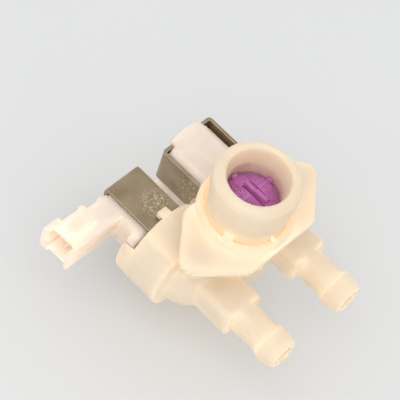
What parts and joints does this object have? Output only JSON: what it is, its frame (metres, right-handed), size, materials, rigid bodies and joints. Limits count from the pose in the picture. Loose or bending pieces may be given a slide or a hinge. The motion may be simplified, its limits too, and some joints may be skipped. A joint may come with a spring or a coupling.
{
  "type": "washing machine inlet valve",
  "caption": "Solenoid water inlet valve: moulded body with inlet spigot and strainer, panel flange, hose tails in front, coils in steel frames with plug sockets behind.",
  "frame": {"origin": "on the inlet axis, in the upper face of the flange that seats against the machine's panel", "axes": "+Z along the inlet axis, out of the inlet; -Y along the hose tails; +Y towards the coils"},
  "size_m": [0.0738, 0.0733, 0.0707],
  "materials": {
    "body": "ivory moulded polypropylene, satin",
    "cover": "white moulded polyamide, satin",
    "filter": "violet moulded plastic",
    "natural": "natural acetal",
    "zinc_steel": "zinc plated, passivated, lightly scratched",
    "soft_steel": "turned stainless steel",
    "copper": "enamelled copper wire",
    "terminal": "tinned brass strip",
    "rubber": "moulded rubber, matt"
  },
  "bodies": {
    "housing": {"valve_body": "body", "inlet_filter": "filter", "flow_washer": "rubber", "flow_regulator": "natural", "diaphragm_left": "rubber", "bonnet_left": "natural", "plunger_spring_left": "soft_steel", "pole_sleeve_front_left": "soft_steel", "pole_sleeve_rear_left": "soft_steel", "coil_bobbin_left": "cover", "coil_winding_left": "copper", "coil_cover_left": "cover", "terminal_front_left": "terminal", "terminal_rear_left": "terminal", "coil_frame_left": "zinc_steel", "frame_plate_left": "zinc_steel", "diaphragm_right": "rubber", "bonnet_right": "natural", "plunger_spring_right": "soft_steel", "pole_sleeve_front_right": "soft_steel", "pole_sleeve_rear_right": "soft_steel", "coil_bobbin_right": "cover", "coil_winding_right": "copper", "coil_cover_right": "cover", "terminal_front_right": "terminal", "terminal_rear_right": "terminal", "coil_frame_right": "zinc_steel", "frame_plate_right": "zinc_steel"},
    "plunger_left": {"plunger_left": "soft_steel", "plunger_seal_left": "rubber"},
    "diaphragm_lift_left": {"diaphragm_core_left": "natural"},
    "plunger_right": {"plunger_right": "soft_steel", "plunger_seal_right": "rubber"},
    "diaphragm_lift_right": {"diaphragm_core_right": "natural"}
  },
  "joints": [
    {"name": "plunger_slide_left", "type": "slide", "parent": "housing", "child": "plunger_left", "axis": [0, 1, 0], "range_m": [0, 0.0022], "stiffness_N_per_m": 60, "springref_m": -0.008, "deforming": ["plunger_spring_left"]},
    {"name": "diaphragm_slide_left", "type": "slide", "parent": "housing", "child": "diaphragm_lift_left", "axis": [0, 1, 0], "range_m": [0, 0.0018], "deforming": ["diaphragm_left"]},
    {"name": "plunger_slide_right", "type": "slide", "parent": "housing", "child": "plunger_right", "axis": [0, 1, 0], "range_m": [0, 0.0022], "stiffness_N_per_m": 60, "springref_m": -0.008, "deforming": ["plunger_spring_right"]},
    {"name": "diaphragm_slide_right", "type": "slide", "parent": "housing", "child": "diaphragm_lift_right", "axis": [0, 1, 0], "range_m": [0, 0.0018], "deforming": ["diaphragm_right"]}
  ],
  "couplings": [
    {"joint": "diaphragm_slide_left", "follows": "plunger_slide_left", "ratio": 0.8},
    {"joint": "diaphragm_slide_right", "follows": "plunger_slide_right", "ratio": 0.8}
  ]
}
